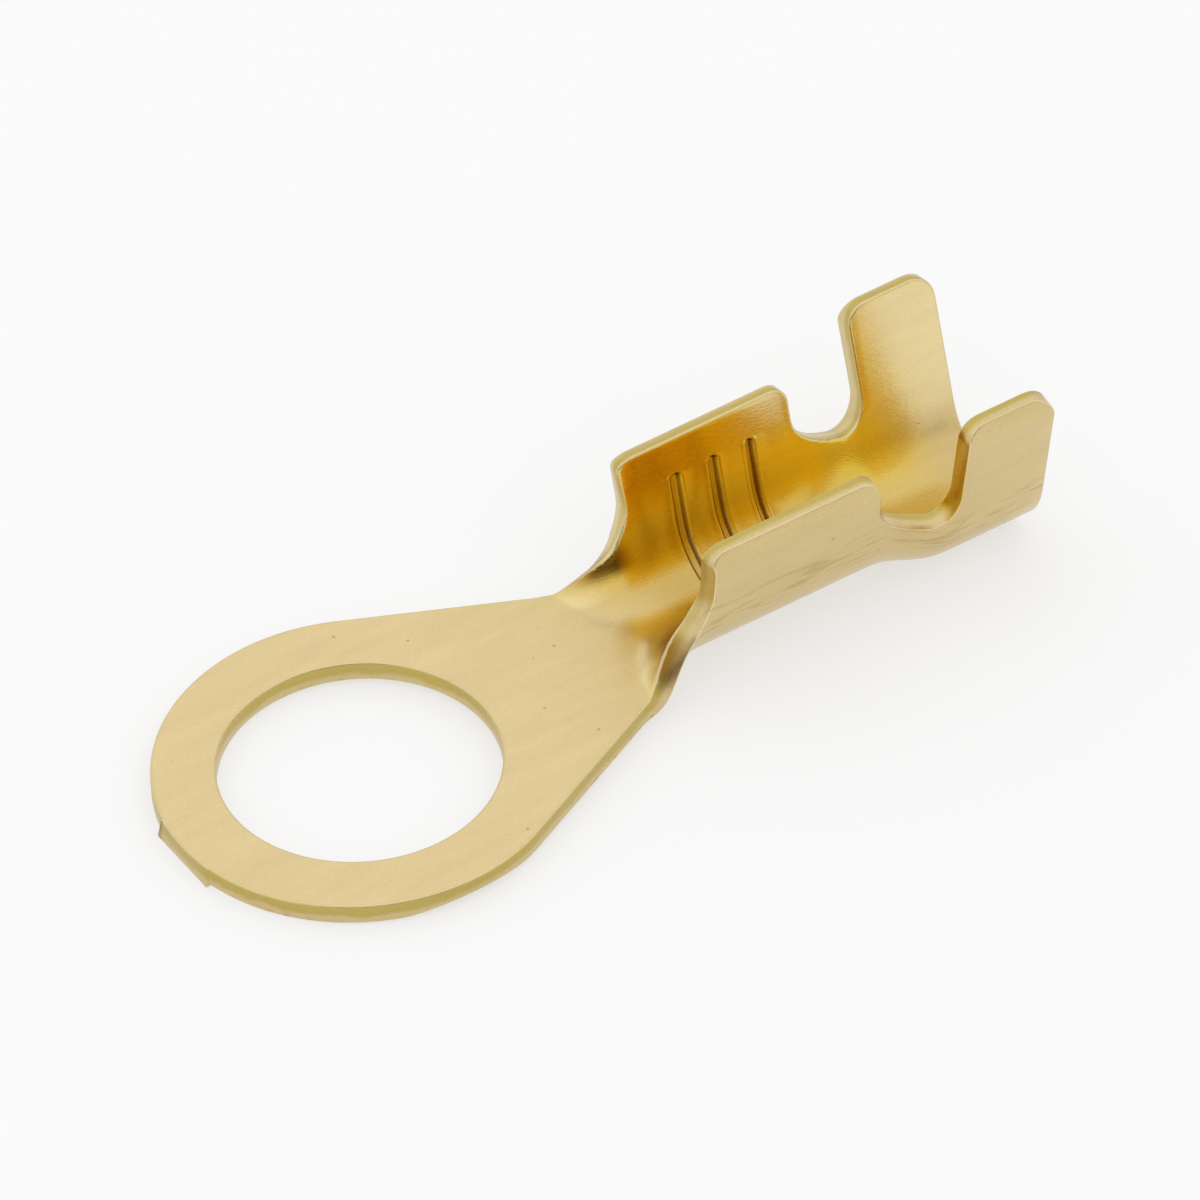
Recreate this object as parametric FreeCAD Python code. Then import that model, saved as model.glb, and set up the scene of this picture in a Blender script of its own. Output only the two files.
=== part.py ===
import FreeCAD, Part
import math
import os

# An open-barrel ring terminal for an M6 stud, stamped from brass sheet and folded.
# The origin is the centre of the stud hole on the underside of the ring, +X runs from
# the ring along the barrels, +Z is up, and the underside of the ring lies at z = 0.
# The flat ring is cut from sheet. The rest is drawn as a flat blank, whose points are
# then placed on the folded sheet, so every sheared edge stays square to the sheet.

# Driving dimensions, in millimetres and degrees. Heights are of the outer face of the
# sheet above the underside of the ring.
STOCK = 0.5                   # thickness of the sheet

HOLE_DIAMETER = 6.2           # clearance for an M6 stud
RING_DIAMETER = 9.05
TONGUE_TAPER = 25.75          # angle of each tongue edge to the centre line
TAB_WIDTH = 1.96
TAB_STANDOUT = 0.02           # how far its sheared end stands out past the round ring

NECK_WIDTH = 4.2              # width of the blank where the tongue ends
NECK_LENGTH = 1.89            # end of the tongue to the front edge of the wire wings
NECK_CORNER = 1.2
WING_SLOPE = 65.0             # lower front edge of each wire wing, to the centre line
WING_ROOT_CORNER = 1.1
WING_SHOULDER = 3.27          # half width of blank at which the front edge turns square
WING_SHOULDER_CORNER = 1.5

WIRE_LENGTH = 4.3
WIRE_HEIGHT = 3.66
WIRE_RADIUS = 1.79            # outer radius of the barrel floor
WIRE_FLARE = 10.0             # lean of each wing from upright
WIRE_FRONT_CORNER = 0.32
WIRE_REAR_CORNER = 0.45

CURL_LENGTH = 1.95            # from flat tongue to the full wire barrel section
CURL_FLAT = 1.93              # half width of floor that is still flat as the curl begins

NOTCH_WIDTH = 1.95            # gap between the wire wings and the insulation wings
NOTCH_FLOOR = 1.62            # height of the lowest point of the notch edge
NOTCH_CORNER = 0.95
STEP_LENGTH = 1.7             # length over which the section changes, under the notch

INSULATION_LENGTH = 2.25
INSULATION_HEIGHT = 4.37
INSULATION_DROP = 0.4         # how far the insulation barrel hangs below the ring
INSULATION_RADIUS = 1.7
INSULATION_FLAT = 0.27        # half width of the flat strip in the barrel floor
INSULATION_FLARE = 12.5
INSULATION_FRONT_CORNER = 0.5
INSULATION_REAR_CORNER = 0.65

SERRATION_COUNT = 3           # grooves across the inside of the wire barrel
SERRATION_SETBACK = 1.29      # front edge of the wings to the middle of the first groove
SERRATION_PITCH = 0.935
SERRATION_WIDTH = 0.3
SERRATION_DEPTH = 0.1
SERRATION_HEIGHT = 2.85       # height at which each groove runs out

TIP_RELIEF = 0.2              # coined off the outer side of each wing at its tip
TIP_LENGTH = 0.45             # height of that bevel

FOLD_STEP = 0.45              # spacing of the lofted sections where the sheet bends
WALL_STEP = 2.5               # and where it runs straight


def tongue_half_width(x):
    """Give the half width of the tongue, whose edges are tangent to the ring."""
    taper = math.radians(TONGUE_TAPER)
    return RING_DIAMETER / 2 / math.cos(taper) - x * math.tan(taper)


# Places along the terminal that follow from the sizes above, from the hole centre.
NECK_START = (tongue_half_width(0) - NECK_WIDTH / 2) / math.tan(math.radians(TONGUE_TAPER))
WIRE_FRONT = NECK_START + NECK_LENGTH
WIRE_REAR = WIRE_FRONT + WIRE_LENGTH
INSULATION_FRONT = WIRE_REAR + NOTCH_WIDTH
INSULATION_REAR = INSULATION_FRONT + INSULATION_LENGTH
CURL_START = WIRE_FRONT - CURL_LENGTH
STEP_START = (WIRE_REAR + INSULATION_FRONT - STEP_LENGTH) / 2
STEP_END = STEP_START + STEP_LENGTH
TONGUE_END = min(CURL_START, NECK_START) - FOLD_STEP


def smooth(x, start, length):
    """Rise from 0 at start to 1 one length later, along an S curve."""
    u = min(max((x - start) / length, 0.0), 1.0)
    return u * u * (3.0 - 2.0 * u)


def fold_at(x):
    """Give floor height, flat half width, outer radius and turn of the section at x."""
    curl = smooth(x, CURL_START, CURL_LENGTH)
    step = smooth(x, STEP_START, STEP_LENGTH)
    floor = -INSULATION_DROP * step
    flat = CURL_FLAT * (1.0 - curl) ** 2 + INSULATION_FLAT * step
    radius = WIRE_RADIUS + (INSULATION_RADIUS - WIRE_RADIUS) * step
    turn = (90.0 - WIRE_FLARE) * curl + (WIRE_FLARE - INSULATION_FLARE) * step
    return floor, flat, radius, math.radians(turn)


def outer_point(x, across):
    """Place a blank point, so far across from the centre line, on the outer face."""
    floor, flat, radius, turn = fold_at(x)
    run = abs(across)
    angle = min(max(run - flat, 0.0) / radius, turn)
    wall = max(run - flat - radius * turn, 0.0)
    y = min(run, flat) + radius * math.sin(angle) + wall * math.cos(turn)
    z = floor + radius * (1.0 - math.cos(angle)) + wall * math.sin(turn)
    return FreeCAD.Vector(x, math.copysign(y, across), z)


def inner_point(x, across):
    """Place the same blank point on the inner face, one sheet thickness away."""
    nudge = 0.01
    along = outer_point(x + nudge, across) - outer_point(x - nudge, across)
    over = outer_point(x, across + nudge) - outer_point(x, across - nudge)
    return outer_point(x, across) + along.cross(over).normalize() * STOCK


def blank_half_width(x, height):
    """Give the distance across the blank at which the outer face at x has this height."""
    floor, flat, radius, turn = fold_at(x)
    rise = height - floor
    wall_foot = radius * (1.0 - math.cos(turn))
    if rise < wall_foot:
        return flat + radius * math.acos(1.0 - rise / radius)
    return flat + radius * turn + (rise - wall_foot) / math.sin(turn)


def half_blank():
    """List the corners of one side of the folded stretch: x, distance across, radius."""
    neck = NECK_WIDTH / 2
    root = WIRE_FRONT - (WING_SHOULDER - neck) / math.tan(math.radians(WING_SLOPE))
    wire_top = blank_half_width(WIRE_REAR, WIRE_HEIGHT)
    notch = blank_half_width((WIRE_REAR + INSULATION_FRONT) / 2, NOTCH_FLOOR)
    insulation_top = blank_half_width(INSULATION_REAR, INSULATION_HEIGHT)
    return [
        (TONGUE_END, tongue_half_width(TONGUE_END), 0.0),
        (NECK_START, neck, NECK_CORNER),
        (root, neck, WING_ROOT_CORNER),
        (WIRE_FRONT, WING_SHOULDER, WING_SHOULDER_CORNER),
        (WIRE_FRONT, wire_top, WIRE_FRONT_CORNER),
        (WIRE_REAR, wire_top, WIRE_REAR_CORNER),
        (WIRE_REAR, notch, NOTCH_CORNER),
        (INSULATION_FRONT, notch, NOTCH_CORNER),
        (INSULATION_FRONT, insulation_top, INSULATION_FRONT_CORNER),
        (INSULATION_REAR, insulation_top, INSULATION_REAR_CORNER),
    ]


def rounded_corner(before, corner, after, radius):
    """Give the first, middle and last point of the arc that rounds one corner."""
    back = before - corner
    ahead = after - corner
    room = 0.48 * min(back.Length, ahead.Length)
    back.normalize()
    ahead.normalize()
    half = back.getAngle(ahead) / 2
    setback = min(radius / math.tan(half), room)
    radius = setback * math.tan(half)
    middle = corner + (back + ahead).normalize() * (radius / math.sin(half) - radius)
    return corner + back * setback, middle, corner + ahead * setback


def rounded_outline(corners):
    """Turn corners with radii into a closed loop of flat lines and arcs."""
    points = [FreeCAD.Vector(x, across, 0) for x, across, radius in corners]
    arcs = []
    for i, (x, across, radius) in enumerate(corners):
        after = points[(i + 1) % len(points)]
        trio = rounded_corner(points[i - 1], points[i], after, radius)
        arcs.append([FreeCAD.Base.Vector2d(p.x, p.y) for p in trio])
    curves = []
    for i, arc in enumerate(arcs):
        if corners[i][2] > 0.0:
            curves.append(Part.Geom2d.ArcOfCircle2d(*arc))
        curves.append(Part.Geom2d.Line2dSegment(arc[2], arcs[(i + 1) % len(arcs)][0]))
    return curves


def stations(stretches):
    """List places along stretches of start, end and the longest step between places."""
    places = [stretches[0][0]]
    for start, end, longest in stretches:
        count = math.ceil((end - start) / longest)
        places += [start + (end - start) * (i + 1) / count for i in range(count)]
    return places


def spline_through(points, places):
    """Pass a smooth curve through points, each at its own parameter."""
    curve = Part.BSplineCurve()
    curve.interpolate(Points=points, Parameters=places)
    return curve


def sheet_face(place, along, over):
    """Loft one face of the folded sheet, where u is x and v is the distance across."""
    sections = [spline_through([place(x, across) for across in over], over) for x in along]
    rows = zip(*[section.getPoles() for section in sections])
    rails = [spline_through(list(row), along) for row in rows]
    surface = Part.BSplineSurface()
    surface.buildFromPolesMultsKnots(
        [list(column) for column in zip(*[rail.getPoles() for rail in rails])],
        rails[0].getMultiplicities(),
        sections[0].getMultiplicities(),
        rails[0].getKnots(),
        sections[0].getKnots(),
        False,
        False,
        rails[0].Degree,
        sections[0].Degree,
    )
    return surface


def folded_sheet():
    """Fold the blank: both faces of the sheet, joined along its sheared edges."""
    side = half_blank()
    other_side = [(x, -across, radius) for x, across, radius in reversed(side)]
    outline = rounded_outline(side + other_side)

    margin = 2 * FOLD_STEP
    bend = max(WIRE_RADIUS, INSULATION_FLAT + INSULATION_RADIUS) * math.pi / 2 + margin
    widest = max(across for x, across, radius in side) + margin
    over = stations([
        (-widest, -bend, WALL_STEP),
        (-bend, bend, FOLD_STEP),
        (bend, widest, WALL_STEP),
    ])
    along = stations([
        (TONGUE_END, WIRE_FRONT + margin, FOLD_STEP),
        (WIRE_FRONT + margin, STEP_START - margin, WALL_STEP),
        (STEP_START - margin, STEP_END + margin, FOLD_STEP),
        (STEP_END + margin, INSULATION_REAR, WALL_STEP),
    ])
    outer = sheet_face(outer_point, along, over)
    inner = sheet_face(inner_point, along, over)

    outer_edges = [curve.toShape(outer) for curve in outline]
    inner_edges = [curve.toShape(inner) for curve in outline]
    faces = [
        Part.Face(outer, Part.Wire(outer_edges)),
        Part.Face(inner, Part.Wire(inner_edges)),
    ]
    for outer_edge, inner_edge in zip(outer_edges, inner_edges):
        faces.append(Part.makeRuledSurface(outer_edge, inner_edge))
    shell = Part.makeShell(faces)
    shell.sewShape()
    return Part.Solid(shell)


def mirrored(point):
    """Give the matching point on the other side of the centre line."""
    return FreeCAD.Vector(point.x, -point.y, point.z)


def flat_plate():
    """Cut the ring, its tangent tongue and the carrier tab from flat sheet."""
    radius = RING_DIAMETER / 2
    touch = math.radians(90.0 - TONGUE_TAPER)
    tab_side = TAB_WIDTH / 2
    tongue = FreeCAD.Vector(TONGUE_END, tongue_half_width(TONGUE_END), 0)
    tangent = FreeCAD.Vector(radius * math.cos(touch), radius * math.sin(touch), 0)
    crown = FreeCAD.Vector(0, radius, 0)
    tab_root = FreeCAD.Vector(-math.sqrt(radius ** 2 - tab_side ** 2), tab_side, 0)
    tab_end = FreeCAD.Vector(-radius - TAB_STANDOUT, tab_side, 0)
    edges = [
        Part.LineSegment(tongue, tangent).toShape(),
        Part.Arc(tangent, crown, tab_root).toShape(),
        Part.LineSegment(tab_root, tab_end).toShape(),
        Part.LineSegment(tab_end, mirrored(tab_end)).toShape(),
        Part.LineSegment(mirrored(tab_end), mirrored(tab_root)).toShape(),
        Part.Arc(mirrored(tab_root), mirrored(crown), mirrored(tangent)).toShape(),
        Part.LineSegment(mirrored(tangent), mirrored(tongue)).toShape(),
        Part.LineSegment(mirrored(tongue), tongue).toShape(),
    ]
    plate = Part.Face(Part.Wire(edges)).extrude(FreeCAD.Vector(0, 0, STOCK))
    return plate.cut(Part.makeCylinder(HOLE_DIAMETER / 2, STOCK))


def serration_cutter(x):
    """Make the bar that presses one groove into the inside of the wire barrel."""
    turn = math.radians(90.0 - WIRE_FLARE)
    reach = WIRE_RADIUS - STOCK + SERRATION_DEPTH
    front = x - SERRATION_WIDTH / 2
    bottom = FreeCAD.Vector(front, 0, WIRE_RADIUS - reach)
    foot = FreeCAD.Vector(front, reach * math.sin(turn), WIRE_RADIUS - reach * math.cos(turn))
    lean = (SERRATION_HEIGHT - foot.z) / math.tan(turn)
    top = FreeCAD.Vector(front, foot.y + lean, SERRATION_HEIGHT)
    edges = [
        Part.LineSegment(mirrored(top), mirrored(foot)).toShape(),
        Part.Arc(mirrored(foot), bottom, foot).toShape(),
        Part.LineSegment(foot, top).toShape(),
        Part.LineSegment(top, mirrored(top)).toShape(),
    ]
    return Part.Face(Part.Wire(edges)).extrude(FreeCAD.Vector(SERRATION_WIDTH, 0, 0))


def tip_cutters(front, rear, height):
    """Make the two wedges that bevel the tips of a pair of wings."""
    top = blank_half_width(rear, height)
    tip = outer_point(front, top)
    foot = outer_point(front, top - TIP_LENGTH)
    away = (tip - inner_point(front, top)).normalize()
    slope = tip - away * TIP_RELIEF - foot
    beyond = foot + slope * 2.0
    corners = [foot - slope * 0.5, beyond, beyond + away * 2.0 * STOCK]
    edges = [
        Part.LineSegment(corners[0], corners[1]).toShape(),
        Part.LineSegment(corners[1], corners[2]).toShape(),
        Part.LineSegment(corners[2], corners[0]).toShape(),
    ]
    wedge = Part.Face(Part.Wire(edges)).extrude(FreeCAD.Vector(rear - front, 0, 0))
    centre_line = FreeCAD.Vector(0, 0, 0)
    return [wedge, wedge.mirror(centre_line, FreeCAD.Vector(0, 1, 0))]


def ring_terminal():
    """Join the flat ring to the folded barrels, press the serrations, bevel the tips."""
    first = WIRE_FRONT + SERRATION_SETBACK
    cutters = [serration_cutter(first + SERRATION_PITCH * i) for i in range(SERRATION_COUNT)]
    cutters += tip_cutters(WIRE_FRONT, WIRE_REAR, WIRE_HEIGHT)
    cutters += tip_cutters(INSULATION_FRONT, INSULATION_REAR, INSULATION_HEIGHT)
    return flat_plate().fuse(folded_sheet()).cut(cutters)


os.makedirs("parts", exist_ok=True)
terminal = ring_terminal()
terminal.exportStep("parts/ring_terminal.step")
print("valid", terminal.isValid(), "solids", len(terminal.Solids))
print("volume", round(terminal.Volume, 3), "cubic mm")
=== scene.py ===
# %% [markdown]
# # An open-barrel ring terminal
#
# The object is a bare brass terminal. It is punched from 0.5 mm sheet as a flat blank, and
# then folded: the ring stays flat, and the wings are bent up to hold a wire. It is one
# piece of metal, so the model is one mesh.
#
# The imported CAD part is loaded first. It fixes the place, the size and the outline, and
# everything below is made to lie on it. Its box is measured while nothing else is there.

# %% The fixed frame
import math

import bmesh
import bpy
import numpy as np
from mathutils import Matrix, Vector


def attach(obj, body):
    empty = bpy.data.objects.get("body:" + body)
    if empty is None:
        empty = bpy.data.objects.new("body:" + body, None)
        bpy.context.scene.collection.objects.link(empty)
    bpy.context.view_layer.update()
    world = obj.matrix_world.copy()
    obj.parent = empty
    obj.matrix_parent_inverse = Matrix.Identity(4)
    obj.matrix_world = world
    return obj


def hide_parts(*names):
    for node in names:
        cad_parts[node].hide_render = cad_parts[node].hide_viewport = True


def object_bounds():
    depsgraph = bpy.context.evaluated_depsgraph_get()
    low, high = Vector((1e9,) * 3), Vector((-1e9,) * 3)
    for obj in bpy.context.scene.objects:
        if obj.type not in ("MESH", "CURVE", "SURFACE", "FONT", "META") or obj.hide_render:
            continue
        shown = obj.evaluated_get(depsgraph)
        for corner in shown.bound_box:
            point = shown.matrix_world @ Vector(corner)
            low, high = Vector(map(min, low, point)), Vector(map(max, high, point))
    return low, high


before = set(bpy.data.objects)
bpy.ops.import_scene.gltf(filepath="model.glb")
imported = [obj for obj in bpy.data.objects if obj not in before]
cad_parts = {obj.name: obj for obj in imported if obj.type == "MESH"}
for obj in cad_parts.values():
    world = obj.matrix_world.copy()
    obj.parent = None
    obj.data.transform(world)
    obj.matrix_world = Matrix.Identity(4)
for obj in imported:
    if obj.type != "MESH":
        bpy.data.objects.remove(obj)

bpy.context.view_layer.update()
cad_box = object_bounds()
print("CAD box in mm:", [[round(value * 1000, 2) for value in corner] for corner in cad_box])

# %% [markdown]
# ## The sizes of the blank
#
# A toolmaker draws a folded part as a flat blank and folds it afterwards. This script does
# the same, because a flat outline is easy to draw and to cut. The sizes are those of the
# CAD part, in millimetres and degrees. The mesh is modelled at one unit per millimetre, so
# that the values read as on a drawing, and is scaled to metres at the end.
#
# X runs from the ring's centre along the blank, and Y across it. First come the ring, the
# stub of the tab that held it to the strip, and the tongue. The tongue's straight sides
# leave the ring as tangents, which is where the neck's start is worked out from.

# %% The ring, the tab and the tongue
STOCK = 0.5
HOLE_RADIUS = 3.1
RING_RADIUS = 4.525
TAPER = math.radians(25.75)
TAB_HALF = 0.98
TAB_END = -4.545
NECK_HALF = 2.1
NECK_START = (RING_RADIUS / math.cos(TAPER) - NECK_HALF) / math.tan(TAPER)
print("the neck starts", round(NECK_START, 2), "mm from the ring's centre")

# %% [markdown]
# Behind the neck come two barrels. A crimping tool curls the wire barrel's wings over the
# bare strands, and the insulation barrel's over the jacket of the same wire, so these are
# longer. A notch on each side lets the two pairs be curled apart from each other.

# %% The two barrels
NECK_LENGTH = 1.89
WIRE_LENGTH = 4.3
NOTCH_WIDTH = 1.95
INSULATION_LENGTH = 2.25
WIRE_FRONT = NECK_START + NECK_LENGTH
WIRE_REAR = WIRE_FRONT + WIRE_LENGTH
INSULATION_FRONT = WIRE_REAR + NOTCH_WIDTH
INSULATION_REAR = INSULATION_FRONT + INSULATION_LENGTH
print("the blank is", round(INSULATION_REAR - TAB_END, 2), "mm long")

# %% [markdown]
# ## How the sheet folds
#
# A bent sheet keeps its length, so a point of the blank can be followed to its place on
# the folded part: first along the flat floor, then round the bend, then up the straight
# wall. The bend grows along the neck, and the section changes once more where the wire
# barrel steps down into the insulation barrel. A bend modifier turns a mesh by one angle
# about one axis, and can't do that, so the fold is written as a rule for points.

# %% The sizes of the fold
CURL_LENGTH = 1.95
CURL_START = WIRE_FRONT - CURL_LENGTH
CURL_FLAT = 1.93
STEP_LENGTH = 1.7
STEP_START = (WIRE_REAR + INSULATION_FRONT - STEP_LENGTH) / 2
DROP = 0.4
WIRE_RADIUS, INSULATION_RADIUS = 1.79, 1.7
WIRE_FLARE, INSULATION_FLARE = 10.0, 12.5
INSULATION_FLAT = 0.27
print("the curl starts at", round(CURL_START, 2), "and the step down at", round(STEP_START, 2))

# %% [markdown]
# Sheet never changes from flat to round at one point: the curve eases in over a short
# length. Two small helpers give such soft changes.

# %% Soft changes
BEND_EASE = 0.45


def smooth(x, start, length):
    """Rise from 0 to 1 over a length, level at both ends."""
    u = np.clip((x - start) / length, 0.0, 1.0)
    return u * u * (3.0 - 2.0 * u)


def ramp(distance):
    """Rise in proportion to the distance past 0, with a soft start."""
    soft = (distance + BEND_EASE) ** 2 / (4.0 * BEND_EASE)
    inside = np.abs(distance) < BEND_EASE
    return np.where(inside, soft, np.maximum(distance, 0.0))


print("a quarter of the way into a change:", round(float(smooth(0.25, 0.0, 1.0)), 3))

# %% [markdown]
# The bent section has a flat floor, a round bend and a straight wall that leans out by the
# flare. A formula for its points would need a case for each part. Walking along it in
# small steps needs none, because only the direction changes from step to step.

# %% The bent section
WALK_STEPS = 60


def bent_section(x, across):
    """Walk from the centre line out along the bent section at x."""
    curl = smooth(x, CURL_START, CURL_LENGTH)
    step = smooth(x, STEP_START, STEP_LENGTH)
    flat = CURL_FLAT * (1.0 - curl) ** 2 + INSULATION_FLAT * step
    radius = WIRE_RADIUS + (INSULATION_RADIUS - WIRE_RADIUS) * step
    turn = np.radians((90.0 - WIRE_FLARE) * curl + (WIRE_FLARE - INSULATION_FLARE) * step)
    end = flat + radius * turn
    y = np.zeros_like(x)
    z = -DROP * step
    pace = np.abs(across) / WALK_STEPS
    for i in range(WALK_STEPS):
        run = pace * (i + 0.5)
        bent = ramp(run - flat) - ramp(-run - flat) - ramp(run - end) + ramp(-run - end)
        y = y + pace * np.cos(bent / radius)
        z = z + pace * np.sin(bent / radius)
    return np.stack([x, np.copysign(y, across), z], axis=1)


sample = bent_section(np.array([WIRE_FRONT + 1.0]), np.array([4.0]))[0]
print("4 mm out on the wire barrel folds to", sample.round(2))

# %% [markdown]
# Along the part, the section is averaged over a short length, which takes the corners off
# the neck and the step. The walk gives the outer face. The rest of the thickness stands
# square on it, so the cut edges stay square to the sheet, as they do on bent metal.

# %% Points of the folded sheet
ALONG_EASE = 0.35
EASE_SHARES = ((-1, 1 / 16), (-0.5, 1 / 4), (0, 3 / 8), (0.5, 1 / 4), (1, 1 / 16))


def outer_face(x, across):
    """Place points of the blank on the outer face, with the changes along it eased."""
    return sum(share * bent_section(x + shift * ALONG_EASE, across)
               for shift, share in EASE_SHARES)


def folded(x, across, height):
    """Place points that lie so high in the thickness of the blank."""
    nudge = 0.01
    along = outer_face(x + nudge, across) - outer_face(x - nudge, across)
    over = outer_face(x, across + nudge) - outer_face(x, across - nudge)
    normal = np.cross(along, over)
    normal /= np.linalg.norm(normal, axis=1)[:, None]
    return outer_face(x, across) + normal * height[:, None]


sample = folded(np.array([WIRE_FRONT + 1.0]), np.array([0.0]), np.array([STOCK]))[0]
print("the barrel's floor inside lies at", sample.round(2))

# %% [markdown]
# The wings' heights are known on the folded part, and the blank needs their lengths. So
# the same walk is solved the other way round: how far out on the blank must an edge lie
# to end up at a given height?

# %% How far the wings reach on the blank
WIRE_HEIGHT, NOTCH_FLOOR, INSULATION_HEIGHT = 3.66, 1.62, 4.37


def blank_reach(x, height):
    """Give the distance across the blank at which the outer face has this height."""
    step = float(smooth(x, STEP_START, STEP_LENGTH))
    flat = INSULATION_FLAT * step
    radius = WIRE_RADIUS + (INSULATION_RADIUS - WIRE_RADIUS) * step
    turn = math.radians(90.0 - WIRE_FLARE + (WIRE_FLARE - INSULATION_FLARE) * step)
    rise = height + DROP * step
    foot = radius * (1.0 - math.cos(turn))
    if rise < foot:
        return flat + radius * math.acos(1.0 - rise / radius)
    return flat + radius * turn + (rise - foot) / math.sin(turn)


WIRE_TOP = blank_reach(WIRE_REAR, WIRE_HEIGHT)
NOTCH = blank_reach((WIRE_REAR + INSULATION_FRONT) / 2, NOTCH_FLOOR)
INSULATION_TOP = blank_reach(INSULATION_REAR, INSULATION_HEIGHT)
print("the wings reach", round(WIRE_TOP, 2), "and", round(INSULATION_TOP, 2),
      "mm out, and the notch goes in to", round(NOTCH, 2))

# %% [markdown]
# ## The outline of the blank
#
# The two sides of the blank are mirror images, so one half is enough. A punch can't have
# sharp corners, so the outline is a list of corners, each with its radius, and a helper
# that puts an arc at each. Round stretches, such as the ring, are arcs from the start.

# %% Arcs for an outline
def rounded(corners, spacing=0.09):
    """Walk along the corners and replace each by points of its arc."""
    points = []
    for i in range(1, len(corners) - 1):
        corner = Vector(corners[i][:2])
        back = Vector(corners[i - 1][:2]) - corner
        ahead = Vector(corners[i + 1][:2]) - corner
        room = 0.48 * min(back.length, ahead.length)
        back.normalize()
        ahead.normalize()
        half = back.angle(ahead) / 2
        setback = min(corners[i][2] / math.tan(half), room)
        radius = setback * math.tan(half)
        centre = corner + (back + ahead).normalized() * radius / math.sin(half)
        start = corner + back * setback - centre
        sweep = start.angle_signed(corner + ahead * setback - centre)
        count = max(2, math.ceil(abs(sweep) * radius / spacing))
        for k in range(count + 1):
            spoke = start.copy()
            spoke.rotate(Matrix.Rotation(-sweep * k / count, 2))
            points.append(centre + spoke)
    return points


def arc(radius, start, end, count):
    """List points of an arc round the stud hole's centre, between two angles."""
    angles = [start + (end - start) * k / count for k in range(count + 1)]
    return [Vector((radius * math.cos(a), radius * math.sin(a))) for a in angles]


square = rounded([(0, 0, 0), (1, 0, 0.3), (1, 1, 0)])
print("a corner of radius 0.3 becomes", len(square), "points")

# %% [markdown]
# The neck runs straight for a moment, spreads into the wing at a steep slope, and turns
# once more at the shoulder. The wings' own corners are smaller, and the notch is nearly
# as round as it can be, so that the metal doesn't tear there when it is curled.

# %% The side with the wings
SHOULDER = 3.27
WING_SLOPE = math.radians(65.0)
NECK_CORNER, ROOT_CORNER, SHOULDER_CORNER, NOTCH_CORNER = 1.2, 1.1, 1.5, 0.95
WIRE_FRONT_CORNER, WIRE_REAR_CORNER = 0.32, 0.45
INSULATION_FRONT_CORNER, INSULATION_REAR_CORNER = 0.5, 0.65

root = WIRE_FRONT - (SHOULDER - NECK_HALF) / math.tan(WING_SLOPE)
tangent = math.pi / 2 - TAPER
tongue = (RING_RADIUS * math.cos(tangent), RING_RADIUS * math.sin(tangent))
wings = rounded([
    (*tongue, 0.0),
    (NECK_START, NECK_HALF, NECK_CORNER),
    (root, NECK_HALF, ROOT_CORNER),
    (WIRE_FRONT, SHOULDER, SHOULDER_CORNER),
    (WIRE_FRONT, WIRE_TOP, WIRE_FRONT_CORNER),
    (WIRE_REAR, WIRE_TOP, WIRE_REAR_CORNER),
    (WIRE_REAR, NOTCH, NOTCH_CORNER),
    (INSULATION_FRONT, NOTCH, NOTCH_CORNER),
    (INSULATION_FRONT, INSULATION_TOP, INSULATION_FRONT_CORNER),
    (INSULATION_REAR, INSULATION_TOP, INSULATION_REAR_CORNER),
    (INSULATION_REAR, 0.0, 0.0),
])
print("the side with the wings has", len(wings), "points")

# %% [markdown]
# The rest is simpler. The ring and the stud hole are arcs, and the tab is a straight end.
# The middle line of the blank closes the loop.

# %% The whole outline of one half
TAB_POINTS, RING_POINTS, HOLE_POINTS = 7, 84, 96

tab = [Vector((TAB_END, TAB_HALF * k / TAB_POINTS)) for k in range(TAB_POINTS + 1)]
tab_angle = math.pi - math.asin(TAB_HALF / RING_RADIUS)
ring_side = arc(RING_RADIUS, tab_angle, tangent, RING_POINTS)
hole_side = arc(HOLE_RADIUS, 0.0, math.pi, HOLE_POINTS)
outline = [*tab, *ring_side, *wings, Vector((INSULATION_REAR, 0.0)), *hole_side]
print("outline of one half:", len(outline), "points")

# %% [markdown]
# ## Punching the blank
#
# On the real part a punch and die cut this outline out of the strip. Here a circle gives
# a loop of as many points, which are moved onto the outline, and an extrusion gives it the
# thickness of the sheet. Operators act on what is selected, so two helpers select faces or
# edges by their place.

# %% Helpers for edit mode
def choose(piece, kind, test):
    """In edit mode, select only the faces or edges that pass a test."""
    bpy.ops.mesh.select_all(action="DESELECT")
    mesh = bmesh.from_edit_mesh(piece.data)
    found = [part for part in getattr(mesh, kind) if test(part)]
    for part in found:
        part.select_set(True)
    bmesh.update_edit_mesh(piece.data)
    return len(found)


def on_centre(part):
    """Tell whether a face or edge lies in the plane that halves the terminal."""
    return all(abs(vert.co.y) < 1e-4 for vert in part.verts)


def at_height(part, height):
    """Tell whether a face or edge lies at one height of the flat blank."""
    return all(abs(vert.co.z - height) < 1e-4 for vert in part.verts)


# %% [markdown]
# The circle is one flat face, and stays one when its points are moved. The extrusion gives
# the second face and the sheared edge between the two.

# %% The flat blank
bpy.ops.object.select_all(action="DESELECT")
bpy.ops.mesh.primitive_circle_add(vertices=len(outline), radius=5.0, fill_type="NGON")
terminal = bpy.context.object
terminal.name = "ring_terminal_sheet"
for vert, point in zip(terminal.data.vertices, outline):
    vert.co = (point.x, point.y, 0.0)

bpy.ops.object.mode_set(mode="EDIT")
bpy.context.tool_settings.mesh_select_mode = (False, True, True)
bpy.ops.mesh.select_all(action="SELECT")
bpy.ops.mesh.extrude_region_move(TRANSFORM_OT_translate={"value": (0.0, 0.0, STOCK)})
bpy.ops.mesh.select_all(action="SELECT")
bpy.ops.mesh.normals_make_consistent(inside=False)
print("the half blank has", len(bmesh.from_edit_mesh(terminal.data).faces), "faces")

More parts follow.
